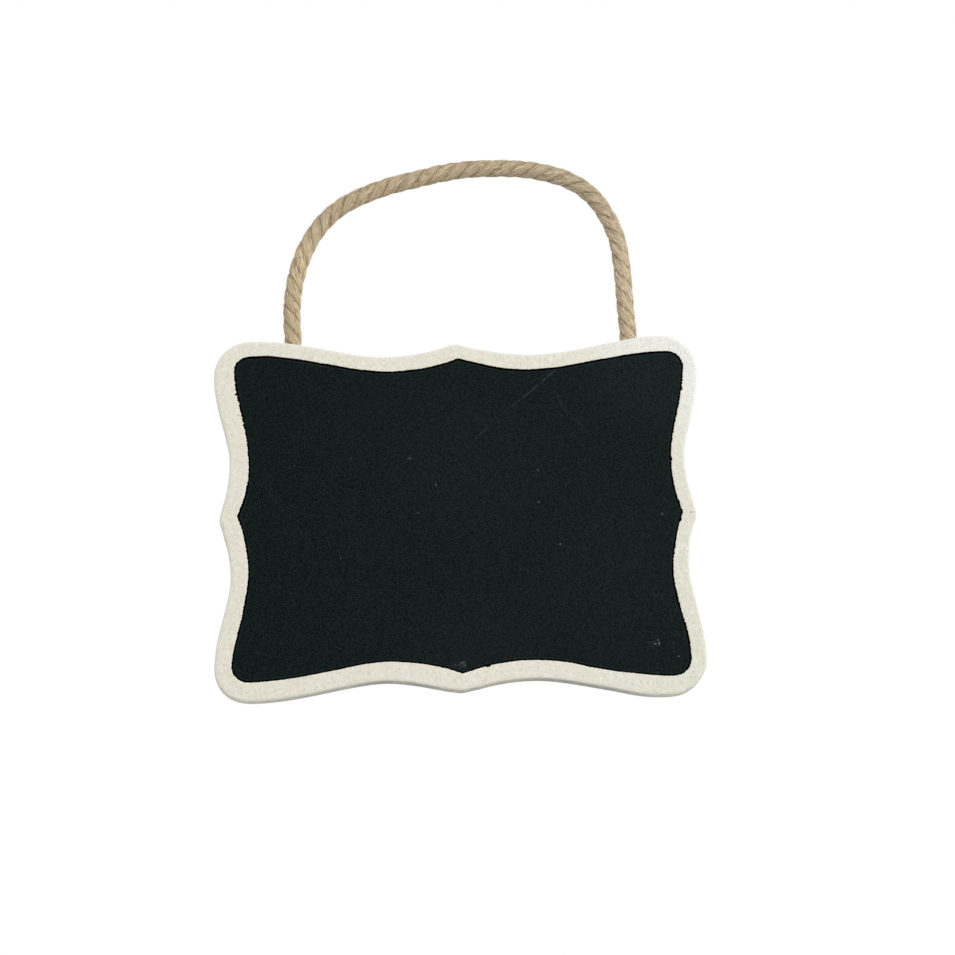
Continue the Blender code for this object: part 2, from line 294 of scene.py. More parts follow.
# Chalk crumbs: place from the board's middle in mm, width, length and turn in degrees
CRUMBS_MM = [
    (-17.6, 21.9, 0.26, 1.10, 66),
    (-8.1, 11.8, 0.37, 0.44, 10),
    (-14.9, 1.5, 0.26, 0.36, 70),
    (-59.8, 19.8, 0.20, 0.42, 80),
    (-39.1, 22.5, 0.22, 0.34, 30),
    (29.3, 16.8, 0.32, 0.40, 25),
    (29.4, 4.8, 0.42, 0.52, 60),
    (74.3, -0.4, 0.42, 0.52, 15),
    (36.8, -11.0, 0.34, 1.00, 38),
    (71.6, -48.2, 0.56, 0.88, 75),
    (71.2, -46.9, 0.34, 0.60, 110),
    (70.2, -48.4, 0.30, 0.80, 12),
    (77.0, -47.8, 0.34, 0.42, 40),
    (78.6, -53.0, 0.52, 0.62, 20),
    (70.8, -58.9, 0.30, 0.42, 5),
    (0.0, -53.9, 0.34, 0.60, 50),
    (-2.3, -54.6, 0.30, 0.45, 20),
    (1.3, -54.8, 0.28, 0.70, 100),
    (-43.2, -14.8, 0.22, 0.46, 10),
    (-38.7, -37.2, 0.20, 0.80, 8),
    (-68.4, -36.0, 0.17, 0.42, 50),
]
CRUMB_THICKNESS = 0.00007
CRUMB_SIDES = 9
CRUMB_WOBBLE = 0.45
CRUMB_TOP = 0.6
CRUMB_SHOULDER = 0.8
CRUMB_SUNK = 0.3

# Scratches in the coat, as arcs from right to left: X and Z of the start, a point on the
# way and the end from the board's middle in mm, half width, strength, and fade at the left
SCRATCHES_MM = [
    ((36.8, 54.5), (27.0, 46.2), (12.7, 35.1), 0.30, 0.40, 20.0),
    ((11.6, 33.4), (8.2, 30.2), (4.8, 27.2), 0.32, 0.18, 3.0),
    ((48.6, 31.6), (39.2, 40.4), (35.4, 52.0), 0.90, 0.06, 1.0),
    ((-60.8, -1.0), (-67.2, 7.2), (-72.8, 16.4), 0.60, 0.06, 2.0),
]

# Tables of spots hold X and Z from the board's middle, width, height and strength. A spot
# is full up to the first of these squares of its share outwards, and gone at the second.
SPOT_START = 0.15
SPOT_END = 1.0

# Painted sheen of the lamp at the right, laid as a thin haze of wiped chalk, which also rises by a
# share from left to right
SHEEN_AND_CHALK_HAZES = [
    (0.088, 0.064, 0.100, 0.086, 0.12),
    (0.0030, 0.0205, 0.074, 0.064, 0.05),
    (0.0640, -0.0220, 0.086, 0.070, 0.035),
    (0.0040, -0.0500, 0.060, 0.050, 0.04),
]
SHEEN_RISE = 0.07

# Dark dots in the panel's coat
COAT_SPOTS = [
    (0.0360, -0.0360, 0.0012, 0.0012, 0.90),
    (0.0727, -0.0490, 0.0011, 0.0009, 0.50),
]

# Soft smears of chalk
SMEARS = [
    (0.0000, -0.0545, 0.0048, 0.0034, 0.60),
    (-0.0028, -0.0551, 0.0022, 0.0018, 0.45),
    (0.0702, -0.0482, 0.0072, 0.0026, 0.38),
    (-0.0172, 0.0224, 0.0018, 0.0034, 0.22),
    (-0.0436, 0.0213, 0.0070, 0.0016, 0.05),
    (-0.0451, 0.0120, 0.0036, 0.0036, 0.05),
]

# Marks in the frame's paint
PAINT_SPOTS = [
    (0.0849, -0.0000, 0.0016, 0.0009, 0.50),
    (0.0864, -0.0000, 0.0012, 0.0007, 0.25),
    (-0.0801, 0.0390, 0.0009, 0.0007, 0.40),
    (-0.0793, 0.0377, 0.0008, 0.0006, 0.30),
    (0.0808, -0.0146, 0.0008, 0.0010, 0.25),
]

# Where the painted shade on the lower edge is deeper
EDGE_SHADE_SPOTS = [
    (-0.0240, -0.0640, 0.036, 0.030, 0.25),
    (0.0460, -0.0650, 0.046, 0.030, 0.30),
]

# The painted highlight at the top right corner: its place, and where the change starts and ends
HIGHLIGHT_PLACE = Vector((0.0846, 0.0622))
HIGHLIGHT_START = 0.010
HIGHLIGHT_END = 0.045

# Nicks in the paint's inner edge, in mm from the board's middle: X, Z, depth and reach
NICKS_MM = [
    (-80.7, 47.0, 0.95, 0.5),
    (-80.3, 45.6, 0.40, 0.4),
    (-79.6, 42.9, 0.35, 0.4),
    (-79.2, 41.2, 0.30, 0.5),
    (-78.8, 39.3, 0.40, 0.4),
    (-78.5, 37.7, 0.30, 0.4),
    (-77.2, 24.4, 0.45, 1.0),
    (9.6, -55.6, 0.65, 1.0),
    (80.9, 4.1, 0.40, 1.0),
    (81.1, -2.7, 0.45, 1.0),
    (83.2, 46.4, 0.40, 1.0),
    (78.6, 20.0, 0.40, 1.0),
]

# The brushed inner edge
JAG_HEIGHT = 0.00026
JAG_LEAST = 0.45
JAG_AT_SIDES = 0.55
JAG_REACH = 0.0007
WAVE_HEIGHT = 0.00014
WAVE_REACH = 0.0070

# The stretch of the edge that is rougher than the rest
ROUGH_PLACE = Vector((-0.0790, 0.0400))
ROUGH_REACH = 0.012
ROUGH_SHARE = 1.7


# Outlines


def shares_of(steps):
    """Even shares from 0 to 1."""
    return [step / steps for step in range(steps + 1)]


def resampled(points, count):
    """Count steps of even length along a line, both ends kept."""
    lengths = [0.0]
    for a, b in zip(points, points[1:]):
        lengths.append(lengths[-1] + (b - a).length)
    evenly, i = [], 1
    for share in shares_of(count):
        wanted = share * lengths[-1]
        while i < len(points) - 1 and lengths[i] < wanted:
            i += 1
        run = max(lengths[i] - lengths[i - 1], 1e-12)
        evenly.append(points[i - 1].lerp(points[i], (wanted - lengths[i - 1]) / run))
    return evenly


def half_side(side, offset, corner_radius):
    """From a side's cusp to the middle of its corner, grown outwards by offset."""
    cusp = side["crest"] - side["cusp_drop"]
    rise = side["sag_depth"] - side["cusp_drop"]
    place = side["sag_place"]
    sag_radius = (place**2 + rise**2) / (2 * rise)
    centre = Vector((place, side["crest"] - side["sag_depth"] + sag_radius))
    radius = sag_radius - offset
    cusp_angle = math.asin(place / max(sag_radius, radius))
    points = []
    if offset > 0:
        turns = [cusp_angle * share for share in shares_of(CURVE_STEPS)[:-1]]
        points = [Vector((offset * sin(a), cusp + offset * cos(a))) for a in turns]
    for share in shares_of(CURVE_STEPS):
        angle = cusp_angle * (share - 1)
        points.append(centre + radius * Vector((sin(angle), -cos(angle))))
    start = Vector((place, side["crest"] - side["sag_depth"]))
    end = Vector((side["half_length"] - corner_radius, side["crest"]))
    run = Vector((end.x - start.x, 0))
    knots = [start, start + SAG_HANDLE_SHARE * run, end - CORNER_HANDLE_SHARE * run, end]
    legs = [b - a for a, b in zip(knots, knots[1:])]
    for t in shares_of(CURVE_STEPS)[1:]:
        s = 1 - t
        on = s**3 * knots[0] + 3 * s * s * t * knots[1] + 3 * s * t * t * knots[2] + t**3 * knots[3]
        along = (s * s * legs[0] + 2 * s * t * legs[1] + t * t * legs[2]).normalized()
        points.append(on + offset * Vector((-along.y, along.x)))
    corner = Vector((side["half_length"] - corner_radius, side["crest"] - corner_radius))
    for share in shares_of(CURVE_STEPS)[1:]:
        angle = pi / 2 - pi / 4 * share
        points.append(corner + (corner_radius + offset) * Vector((cos(angle), sin(angle))))
    return points


def scallop_outline(offset, corner_radius):
    """The scalloped outline as a closed loop of (x, z), from the board's middle."""
    long_half = resampled(half_side(LONG_SIDE, offset, corner_radius), LONG_POINTS)
    short_half = resampled(half_side(SHORT_SIDE, offset, corner_radius), SHORT_POINTS)
    quarter = long_half + [Vector((p.y, p.x)) for p in reversed(short_half[:-1])]
    right = quarter + [Vector((p.x, -p.y)) for p in reversed(quarter[:-1])]
    return right + [Vector((-p.x, p.y)) for p in reversed(right[1:-1])]


def strayed(outline, strays):
    """The outline with a soft bump at each place of the table, in millimetres."""
    moved = []
    for point in outline:
        shift = Vector((0, 0))
        for x, z, right, up, reach in strays:
            near = max(0, 1 - ((point * 1000 - Vector((x, z))).length / reach) ** 2)
            shift += near * near * Vector((right, up)) / 1000
        moved.append(point + shift)
    return moved


def outer_outline(offset):
    """The outline of both layers."""
    return strayed(scallop_outline(offset, OUTER_CORNER_RADIUS - BORDER_WIDTH), OUTER_STRAYS_MM)


def opening_outline(offset):
    """The outline where the opening sits in the frame, slightly off, turned and uneven."""
    turn = Matrix.Rotation(radians(-OPENING_TURN_DEG), 2)
    outline = strayed(scallop_outline(offset, OPENING_CORNER_RADIUS), OPENING_STRAYS_MM)
    return [turn @ point + OPENING_SHIFT for point in outline]


def outward(loop):
    """The unit vector out of a closed loop at each of its points."""
    normals = []
    for i in range(len(loop)):
        along = (loop[(i + 1) % len(loop)] - loop[i - 1]).normalized()
        normals.append(Vector((-along.y, along.x)))
    return normals


# Meshes


def added(name, data):
    """A new object in the scene."""
    made = bpy.data.objects.new(name, data)
    bpy.context.scene.collection.objects.link(made)
    return made


def finished(name, verts, faces, body, materials, replaced=(), smooth_deg=40):
    """A mesh object in the row frame that rides on its body."""
    mesh = bpy.data.meshes.new(name)
    mesh.from_pydata([tuple(v) for v in verts], [], faces)
    for material in materials:
        mesh.materials.append(material)
    mesh.validate()
    mesh.shade_smooth()
    mesh.set_sharp_from_angle(angle=radians(smooth_deg))
    made = added(name, mesh)
    if body:
        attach(made, body)
    if replaced:
        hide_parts(*replaced)
    return made


def placed(loop, y):
    """A loop of (x, z) from the board's middle as points of the row frame."""
    return [Vector((p.x + CENTRE_X, y, p.y + CENTRE_Z)) for p in loop]


def band_faces(first, second, count):
    """Quads between two closed loops of vertices that start at these numbers."""
    return [
        (first + i, first + (i + 1) % count, second + (i + 1) % count, second + i)
        for i in range(count)
    ]


def tube_faces(loops, count, start=0):
    """Quads between so many closed loops of vertices, which follow one another."""
    faces = []
    for i in range(loops - 1):
        faces += band_faces(start + count * i, start + count * (i + 1), count)
    return faces


def rounding(steps):
    """Shares of a quarter circle: how far in and how far deep, from flat to wall."""
    angles = [pi / 2 * share for share in shares_of(steps)]
    return [(1 - sin(a), 1 - cos(a)) for a in angles]


def rounded(offset, y, radius, backwards, steps):
    """The offset and y of each step of a rounding, which goes backwards by 1 or -1."""
    turns = rounding(steps)
    return [(offset - radius * inset, y + backwards * radius * deep) for inset, deep in turns]


def brushed(outline):
    """The opening's edge: a brush's fine jags over slow waves, then nicks and spurs."""
    edge = []
    for point, normal in zip(outline, outward(outline)):
        fine = Vector((point.x / JAG_REACH, point.y / JAG_REACH, 3.0))
        slow = Vector((point.x / WAVE_REACH, point.y / WAVE_REACH, 8.0))
        height = JAG_HEIGHT * (JAG_LEAST + JAG_AT_SIDES * abs(normal.x))
        if (point - ROUGH_PLACE).length < ROUGH_REACH:
            height *= ROUGH_SHARE
        jag = height * noise.fractal(fine, 0.7, 2.0, 2)
        point = point + normal * (jag + WAVE_HEIGHT * noise.noise(slow))
        nick = 0
        for x, z, depth, reach in NICKS_MM:
            near = max(0, 1 - (point * 1000 - Vector((x, z))).length / reach)
            nick += depth / 1000 * near**0.7
        edge.append(point + normal * nick)
    return edge


def lofted(loops):
    """Loops of (x, z), each at its own y, as vertices and the quads between neighbours."""
    verts = [vert for loop, y in loops for vert in placed(loop, y)]
    count = len(verts) // len(loops)
    return verts, tube_faces(len(loops), count), count


def make_frame(paint, gap_shade):
    """The painted scalloped ring, softly rounded outside, ragged inside, with painted shade on its
    inner wall.
    """
    opening = opening_outline(0)
    rim = brushed(opening)
    inner = [p + n * INNER_ROUNDING for p, n in zip(rim, outward(opening))]
    outer = outer_outline(BORDER_WIDTH - FRONT_ROUNDING)
    loops = [(rim, SEAM_Y - SEAM_GAP)]
    for inset, deep in reversed(rounding(SEAM_STEPS)):
        between = [a.lerp(b, inset) for a, b in zip(rim, inner)]
        loops.append((between, FRAME_FRONT_Y + INNER_ROUNDING * deep))
    for share in shares_of(FLAT_STRIPS)[1:-1]:
        loops.append(([a.lerp(b, share) for a, b in zip(inner, outer)], FRAME_FRONT_Y))
    shares = [0] * len(loops) + [1 - inset for inset, _ in rounding(ROUNDING_STEPS)]
    levels = rounded(BORDER_WIDTH, FRAME_FRONT_Y, FRONT_ROUNDING, 1, ROUNDING_STEPS)
    levels.append((BORDER_WIDTH, (FRAME_FRONT_Y + SEAM_Y) / 2))
    levels += reversed(rounded(BORDER_WIDTH, SEAM_Y - SEAM_GAP, SEAM_ROUNDING, -1, SEAM_STEPS))
    loops += [(outer_outline(offset), y) for offset, y in levels]
    shares += [1] * (len(loops) - len(shares))
    verts, faces, count = lofted(loops)
    faces += band_faces(count * (len(loops) - 1), 0, count)
    for amount, reach in UNEVENNESS:
        for vert in verts:
            vert += amount * noise.noise_vector(vert / reach)
    materials = [paint, gap_shade]
    made = finished("scalloped_frame", verts, faces, "board", materials, ["frame_ring"])
    # Painted shade on the inner wall, the first band of faces
    for face in made.data.polygons[:count]:
        face.material_index = 1
    # The outer edge's painted highlight above and painted shade below
    tints = edge_light_tints()
    set_layer(made.data, "edge", [share * tint for share in shares for tint in tints])


def edge_light_tints():
    """How the outer edge is tinted: 1 for a painted highlight where it faces up, down to -1 for
    painted shade below.
    """
    tints = []
    outline = outer_outline(BORDER_WIDTH)
    for point, normal in zip(outline, outward(outline)):
        if normal.y > SHADE_BELOW:
            tints.append(min(1, 1 + (normal.y - HIGHLIGHT_ABOVE) / (HIGHLIGHT_ABOVE - SHADE_BELOW)))
        else:
            tints.append(SHADE_FADE * (point.x / (OPENING_LENGTH / 2)) ** 4 - 1)
    return tints


def set_layer(mesh, name, values):
    """Give a mesh one number per vertex, for its material."""
    mesh.attributes.new(name, "FLOAT", "POINT").data.foreach_set("value", values)


def make_panel(coat):
    """The coated writing panel in the ring's opening."""
    levels = [(-PANEL_SIDE_GAP, BACK_FRONT_Y)]
    levels += reversed(rounded(-PANEL_SIDE_GAP, PANEL_FRONT_Y, PANEL_ROUNDING, 1, SEAM_STEPS))
    levels.append((-PANEL_SIDE_GAP - PANEL_RIM, PANEL_FRONT_Y))
    verts, faces, count = lofted([(opening_outline(offset), y) for offset, y in levels])
    faces = [face[::-1] for face in faces]
    faces.append(tuple(range(count)))
    faces.append(tuple(reversed(range(len(verts) - count, len(verts)))))
    made = finished("writing_panel", verts, faces, "board", [coat], ["chalk_panel"])
    inner = len(levels) - 2
    set_layer(made.data, "rim", [0] * count + [1] * count * inner + [0] * count)


def make_back(raw, paint, gap_shade):
    """The board behind both: painted round its edge, painted shade in front and bare behind."""
    levels = rounded(BORDER_WIDTH, SEAM_Y + SEAM_GAP, SEAM_ROUNDING, 1, SEAM_STEPS)
    levels += reversed(rounded(BORDER_WIDTH, BACK_FACE_Y, BACK_ROUNDING, -1, ROUNDING_STEPS))
    painted_levels = len(levels) - 1
    levels.append((BORDER_WIDTH - 2 * BACK_ROUNDING, BACK_FACE_Y))
    verts, faces, count = lofted([(outer_outline(offset), y) for offset, y in levels])
    faces.append(tuple(range(len(verts) - count, len(verts))))
    faces.append(tuple(reversed(range(count))))
    materials = [raw, paint, gap_shade]
    made = finished("fibreboard_back", verts, faces, "board", materials, ["back_board"])
    for face in made.data.polygons[: count * painted_levels]:
        face.material_index = 1
    # Painted shade on the front face, seen only through the gap
    made.data.polygons[-1].material_index = 2
    # The painted band takes the same painted highlight above and painted shade below as the frame's
    # edge
    set_layer(made.data, "edge", edge_light_tints() * len(levels))


def make_crumbs(chalk):
    """Flat crumbs of chalk on the panel, each with its own uneven edge."""
    verts, faces = [], []
    top = Vector((0, -CRUMB_THICKNESS, 0))
    for number, (x, z, width, length, turn) in enumerate(CRUMBS_MM):
        middle = Vector((x / 1000 + CENTRE_X, PANEL_FRONT_Y, z / 1000 + CENTRE_Z))
        along = Vector((cos(radians(turn)), 0, sin(radians(turn))))
        across = Vector((-along.z, 0, along.x))
        start = len(verts)
        verts.append(middle + top)
        for i in range(CRUMB_SIDES):
            angle = 2 * pi * i / CRUMB_SIDES
            seed = Vector((number * 3.7, cos(angle) * 2, sin(angle) * 2))
            wobble = 1 + CRUMB_WOBBLE * noise.noise(seed)
            out = along * cos(angle) * length / 2000 + across * sin(angle) * width / 2000
            shoulder = Vector((0, -CRUMB_THICKNESS * CRUMB_SHOULDER, 0))
            verts.append(middle + out * wobble * CRUMB_TOP + shoulder)
            verts.append(middle + out * wobble + Vector((0, CRUMB_THICKNESS * CRUMB_SUNK, 0)))
        for i in range(CRUMB_SIDES):
            a, b = start + 1 + 2 * i, start + 1 + 2 * ((i + 1) % CRUMB_SIDES)
            faces.append((start, a, b))
            faces.append((a, a + 1, b + 1, b))
        faces.append(tuple(start + 2 + 2 * i for i in reversed(range(CRUMB_SIDES))))
    finished("chalk_crumbs", verts, faces, "board", [chalk])


# Rope


def rope_knots():
    """The whole rope's route: up behind the board, round the loop and down again."""
    knots = []
    for share in shares_of(ROPE_END_KNOTS)[:-1]:
        knots.append(Vector((LOOP_ROUTE[0][0], 0, ROPE_END_Z + share * (HINGE_Z - ROPE_END_Z))))
    knots += [Vector((x, 0, z)) for x, z in LOOP_ROUTE]
    for share in shares_of(ROPE_END_KNOTS)[1:]:
        knots.append(Vector((LOOP_ROUTE[-1][0], 0, HINGE_Z + share * (ROPE_END_Z - HINGE_Z))))
    return knots


def rope_line():
    """Evenly spaced points on a smooth curve through the route."""
    knots = rope_knots()
    knots = [2 * knots[0] - knots[1], *knots, 2 * knots[-1] - knots[-2]]
    fine = [knots[1]]
    for before, start, end, after in zip(knots, knots[1:], knots[2:], knots[3:]):
        for t in shares_of(ROUTE_STEPS)[1:]:
            bend = (2 * before - 5 * start + 4 * end - after) * t * t
            swing = (3 * start - before - 3 * end + after) * t**3
            fine.append((2 * start + (end - before) * t + bend + swing) / 2)
    length = sum((b - a).length for a, b in zip(fine, fine[1:]))
    return resampled(fine, round(length / ROPE_STEP)), length


def rope_axes(line, i):
    """The rope's direction at a point, and two axes across it: sideways and depthways."""
    along = (line[min(i + 1, len(line) - 1)] - line[max(i - 1, 0)]).normalized()
    side = Vector((0, 1, 0)).cross(along).normalized()
    return along, side, along.cross(side)


def spoke(turn, first, second):
    """A unit vector at an angle from the first of two axes towards the second."""
    return cos(turn) * first + sin(turn) * second


def strand_radius(angle):
    """The rope's radius at an angle from the middle of the nearest strand."""
    across = STRAND_CENTRE * sin(angle)
    bulge = STRAND_CENTRE * cos(angle) + math.sqrt(STRAND_RADIUS**2 - across**2)
    crease = (abs(angle) * STRANDS / pi - 1) / (2 * CREASE_SHARE)
    return bulge - CREASE_DEPTH * math.exp(-crease * crease)


def yarn_relief(angle, run, strand):
    """Height, gap (a share for painted shade between yarns) and tone of the yarns in a strand, at an
    angle across and a run along.
    """
    wander = noise.noise(Vector((run / YARN_WANDER_REACH, angle * 1.5, strand * 7.3)))
    lean = angle - YARN_SLANT * run
    phase = lean * YARNS_PER_STRAND / (2 * pi / STRANDS) + YARN_WANDER * wander
    yarn = math.floor(phase + 0.5)
    ridge = abs(cos(pi * phase)) ** 0.7
    height = 0.70 + 0.8 * noise.noise(Vector((run / YARN_HEIGHT_REACH, yarn * 3.1, strand)))
    tone = 0.5 + 1.4 * noise.noise(Vector((run / YARN_TONE_REACH, yarn * 5.7, 11 + strand * 2.3)))
    hairs = noise.noise(Vector((run / HAIR_REACH, phase * 5, strand * 4.1)))
    return YARN_HEIGHT * (ridge * height - 0.5) + HAIR_HEIGHT * hairs, 1 - ridge, tone


def rope_turn(run):
    """How far the strands have turned about the rope after a run along it."""
    wobble = LAY_WOBBLE * noise.noise(Vector((run / LAY_WOBBLE_REACH, 2.0, 5.0)))
    return -2 * pi * run / LAY_LENGTH + wobble


def pressed(point, staples):
    """A rope point kept in front of the staples' crowns and behind the board's face."""
    point.y = max(point.y, BACK_FACE_Y + BACK_CLEARANCE)
    for staple in staples:
        away = abs(point.z - staple.z) / STAPLE_REACH
        if away < 1 and abs(point.x - staple.x) < STAPLE_CROWN / 2:
            hold = (1 + cos(pi * away)) / 2
            roof = staple.y - STAPLE_CLEARANCE
            free = max(point.y, roof)
            point.y = min(point.y, free + (roof - free) * min(1, 1.5 * hold))
    return point


def make_rope(jute, line, length, staples):
    """Three strands laid together, one closed skin whose edges follow the lay."""
    sector = 2 * pi / STRANDS
    verts, lay = [], []
    depths, gaps, tones = [], [], []
    crest, valley = strand_radius(0), strand_radius(sector / 2)
    for i, middle in enumerate(line):
        run = length * i / (len(line) - 1)
        _, side, back = rope_axes(line, i)
        turn = rope_turn(run)
        lump = 1 + SWELL * noise.noise(Vector((run / LUMP_REACH, 4.0, 0)))
        for strand in range(STRANDS):
            swell = 1 + SWELL * noise.noise(Vector((run / SWELL_REACH, strand * 5.0, 9.0)))
            for step in range(STRAND_STEPS):
                angle = sector * (step / STRAND_STEPS - 0.5)
                plain = strand_radius(angle)
                height, gap, tone = yarn_relief(angle, run, strand)
                radius = plain * lump * (swell if step else 1) + height * cos(angle * 1.5) ** 0.5
                # Shares for painted shade in the creases between strands and in the gaps between
                # yarns
                depths.append(min(1, max(0, (crest - plain) / (crest - valley))))
                gaps.append(gap)
                tones.append(min(1, max(0, tone)))
                point = middle + radius * spoke(turn + strand * sector + angle, side, back)
                verts.append(pressed(point, staples))
    rings = len(line)
    faces = tube_faces(rings, AROUND)
    for i in range(rings - 1):
        first = length * i / (rings - 1) * LAY_UNITS
        second = length * (i + 1) / (rings - 1) * LAY_UNITS
        for j in range(AROUND):
            strand, step = divmod(j, STRAND_STEPS)
            low = step / STRAND_STEPS + 4 * strand
            high = (step + 1) / STRAND_STEPS + 4 * strand
            lay += [(first, low), (first, high), (second, high), (second, low)]
    for ring, outwards in ((0, -1), (rings - 1, 1)):
        close_rope(verts, faces, lay, line, ring, outwards)
    stands_for = ["rope_loop", "rope_end_left", "rope_end_right"]
    made = finished("hanging_rope", verts, faces, None, [jute], stands_for, 180)
    made.data.uv_layers.new(name="lay").uv.foreach_set("vector", [c for pair in lay for c in pair])
    for name, values, at_ends in (("groove", depths, 0.4), ("gap", gaps, 0.5), ("tone", tones, 0.5)):
        set_layer(made.data, name, values + [at_ends] * (len(verts) - len(values)))
    return made


def close_rope(verts, faces, lay, line, ring, outwards):
    """Close a cut end with shrinking rings that stand a little out of it."""
    along = rope_axes(line, ring)[0] * outwards
    starts = [ring * AROUND]
    for shrink, ahead in CUT_RINGS:
        starts.append(len(verts))
        for rim in verts[starts[0] : starts[0] + AROUND]:
            jitter = CUT_JITTER * noise.noise(rim / CUT_JITTER_REACH)
            verts.append(line[ring] + (rim - line[ring]) * shrink + along * (ahead + jitter))
    verts.append(line[ring] + along * CUT_MIDDLE)
    for a, b in zip(starts, starts[1:]):
        faces += [face[::outwards] for face in band_faces(a, b, AROUND)]
        lay += [(j * 0.3, 20 + corner * 0.1) for j in range(AROUND) for corner in range(4)]
    for j in range(AROUND):
        corners = (starts[-1] + j, starts[-1] + (j + 1) % AROUND, len(verts) - 1)
        faces.append(corners[::outwards])
        lay += [(j * 0.3, 21 + corner * 0.1) for corner in range(3)]


def add_fibre(verts, faces, start, way, curl, reach, radius, steps=FIBRE_STEPS):
    """A thin three-sided hair that leaves a surface and bends over."""
    base = len(verts)
    place, heading = start.copy(), way.normalized()
    for step in range(steps + 1):
        first = heading.orthogonal().normalized()
        second = heading.cross(first)
        thin = radius * (1 - FIBRE_TAPER * step / steps)
        for corner in range(3):
            verts.append(place + thin * spoke(2 * pi * corner / 3, first, second))
        place = place + heading * reach / steps
        heading = (heading + curl / steps).normalized()
    faces += tube_faces(steps + 1, 3, base)
    faces.append((base + 2, base + 1, base))
    top = base + 3 * steps
    faces.append((top, top + 1, top + 2))


def any_way(chance, size):
    """A random vector within a cube."""
    return Vector([chance.uniform(-size, size) for _ in range(3)])


def hair_root(line, length, i, strand, angle, sunk):
    """Where a hair leaves a strand, the axes there, and whether the board is in its way."""
    along, side, back = rope_axes(line, i)
    turn = rope_turn(length * i / (len(line) - 1)) + strand * 2 * pi / STRANDS + angle
    out = spoke(turn, side, back)
    start = line[i] + out * (strand_radius(angle) - sunk)
    return start, along, out, start.y < BACK_FACE_Y + HAIR_CLEARANCE and start.z < HINGE_Z


def add_hairs(verts, faces, line, length, chance):
    """Hairs that stand off the rope."""
    for _ in range(FIBRES):
        i = chance.randrange(4, len(line) - 4)
        strand = chance.randrange(STRANDS)
        angle = chance.uniform(-0.8, 0.8)
        start, along, out, blocked = hair_root(line, length, i, strand, angle, HAIR_SUNK)
        if blocked:
            continue
        way = along * chance.choice((-1, 1)) + out.cross(along) * chance.uniform(-0.7, 0.5)
        way += out * chance.uniform(0.05, 0.55)
        curl = any_way(chance, 1) - out * chance.uniform(0.2, 1.4)
        reach = chance.uniform(*HAIR_LENGTHS)
        radius = FIBRE_RADIUS * chance.uniform(0.7, 1.3)
        add_fibre(verts, faces, start, way, curl, reach, radius)


def add_fuzz(verts, faces, line, length, chance):
    """Short fuzz all over the rope."""
    for _ in range(FUZZ):
        i = chance.randrange(2, len(line) - 2)
        angle = chance.uniform(-1, 1)
        strand = chance.randrange(STRANDS)
        start, along, out, blocked = hair_root(line, length, i, strand, angle, FUZZ_SUNK)
        if blocked:
            continue
        way = along * chance.uniform(-1, 1) + out.cross(along) * chance.uniform(-0.8, 0.8)
        way += out * chance.uniform(0.3, 1.3)
        curl = any_way(chance, 1)
        reach = chance.uniform(*FUZZ_LENGTHS)
        add_fibre(verts, faces, start, way, curl, reach, FIBRE_RADIUS * 0.8, FUZZ_STEPS)


def add_tuft(verts, faces, line, ring, outwards, chance):
    """The loose hairs of a cut end, which stay clear of the board."""
    along, side, back = rope_axes(line, ring)
    for _ in range(END_FIBRES):
        turn = chance.uniform(0, 2 * pi)
        out = math.sqrt(chance.random()) * 0.92
        spread = spoke(turn, side, back)
        start = line[ring] + spread * out * ROPE_RADIUS * 0.95 - along * outwards * TUFT_SUNK
        way = along * outwards + spread * out * chance.uniform(0.1, 0.9)
        way.y = max(way.y, -0.05)
        curl = any_way(chance, 0.6)
        curl.y = abs(curl.y)
        reach = chance.uniform(*TUFT_LENGTHS)
        add_fibre(verts, faces, start, way, curl, reach, FIBRE_RADIUS * 1.3)


def make_fibres(jute, line, length):
    """All loose fibres of the rope and of its two cut ends."""
    chance = random.Random(FIBRE_SEED)
    verts, faces = [], []
    add_hairs(verts, faces, line, length, chance)
    add_fuzz(verts, faces, line, length, chance)
    for ring, outwards in ((0, -1), (len(line) - 1, 1)):
        add_tuft(verts, faces, line, ring, outwards, chance)
    return finished("rope_fibres", verts, faces, None, [jute], smooth_deg=180)


# Staples


def make_staple(name, wire):
    """A wire staple with its crown pressed over the rope and its legs in the board."""
    low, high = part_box(name)
    middle = Vector(((low[0] + high[0]) / 2, 0, (low[2] + high[2]) / 2))
    half_wire = STAPLE_WIRE_THICKNESS / 2
    out = STAPLE_CROWN / 2 - half_wire
    crown = high[1] - half_wire - STAPLE_PRESS
    bend = STAPLE_BEND_RADIUS
    path = [Vector((out, low[1] + STAPLE_TIP_GAP)), Vector((out, (low[1] + crown) / 2))]
    for share in shares_of(STAPLE_BEND_STEPS):
        angle = pi / 2 * share
        path.append(Vector((out - bend + bend * cos(angle), crown - bend + bend * sin(angle))))
    for share in shares_of(3)[1:]:
        path.append(Vector(((out - bend) * (1 - share), crown - STAPLE_SAG * share)))
    path += [Vector((-p.x, p.y)) for p in reversed(path[:-1])]
    verts = []
    for i, point in enumerate(path):
        ahead = (path[min(i + 1, len(path) - 1)] - path[max(i - 1, 0)]).normalized()
        for step in range(STAPLE_SECTION_STEPS):
            angle = 2 * pi * step / STAPLE_SECTION_STEPS
            wide = squared(cos(angle)) * STAPLE_WIRE_WIDTH / 2
            deep = squared(sin(angle)) * half_wire
            x, y = middle.x + point.x + ahead.y * deep, point.y - ahead.x * deep
            verts.append(Vector((x, y, middle.z + wide)))
    count = STAPLE_SECTION_STEPS
    faces = tube_faces(len(path), count)
    faces.append(tuple(reversed(range(count))))
    faces.append(tuple(range(count * (len(path) - 1), count * len(path))))
    finished(name + "_wire", verts, faces, "board", [wire], [name])
    return Vector((middle.x, crown - half_wire, middle.z))


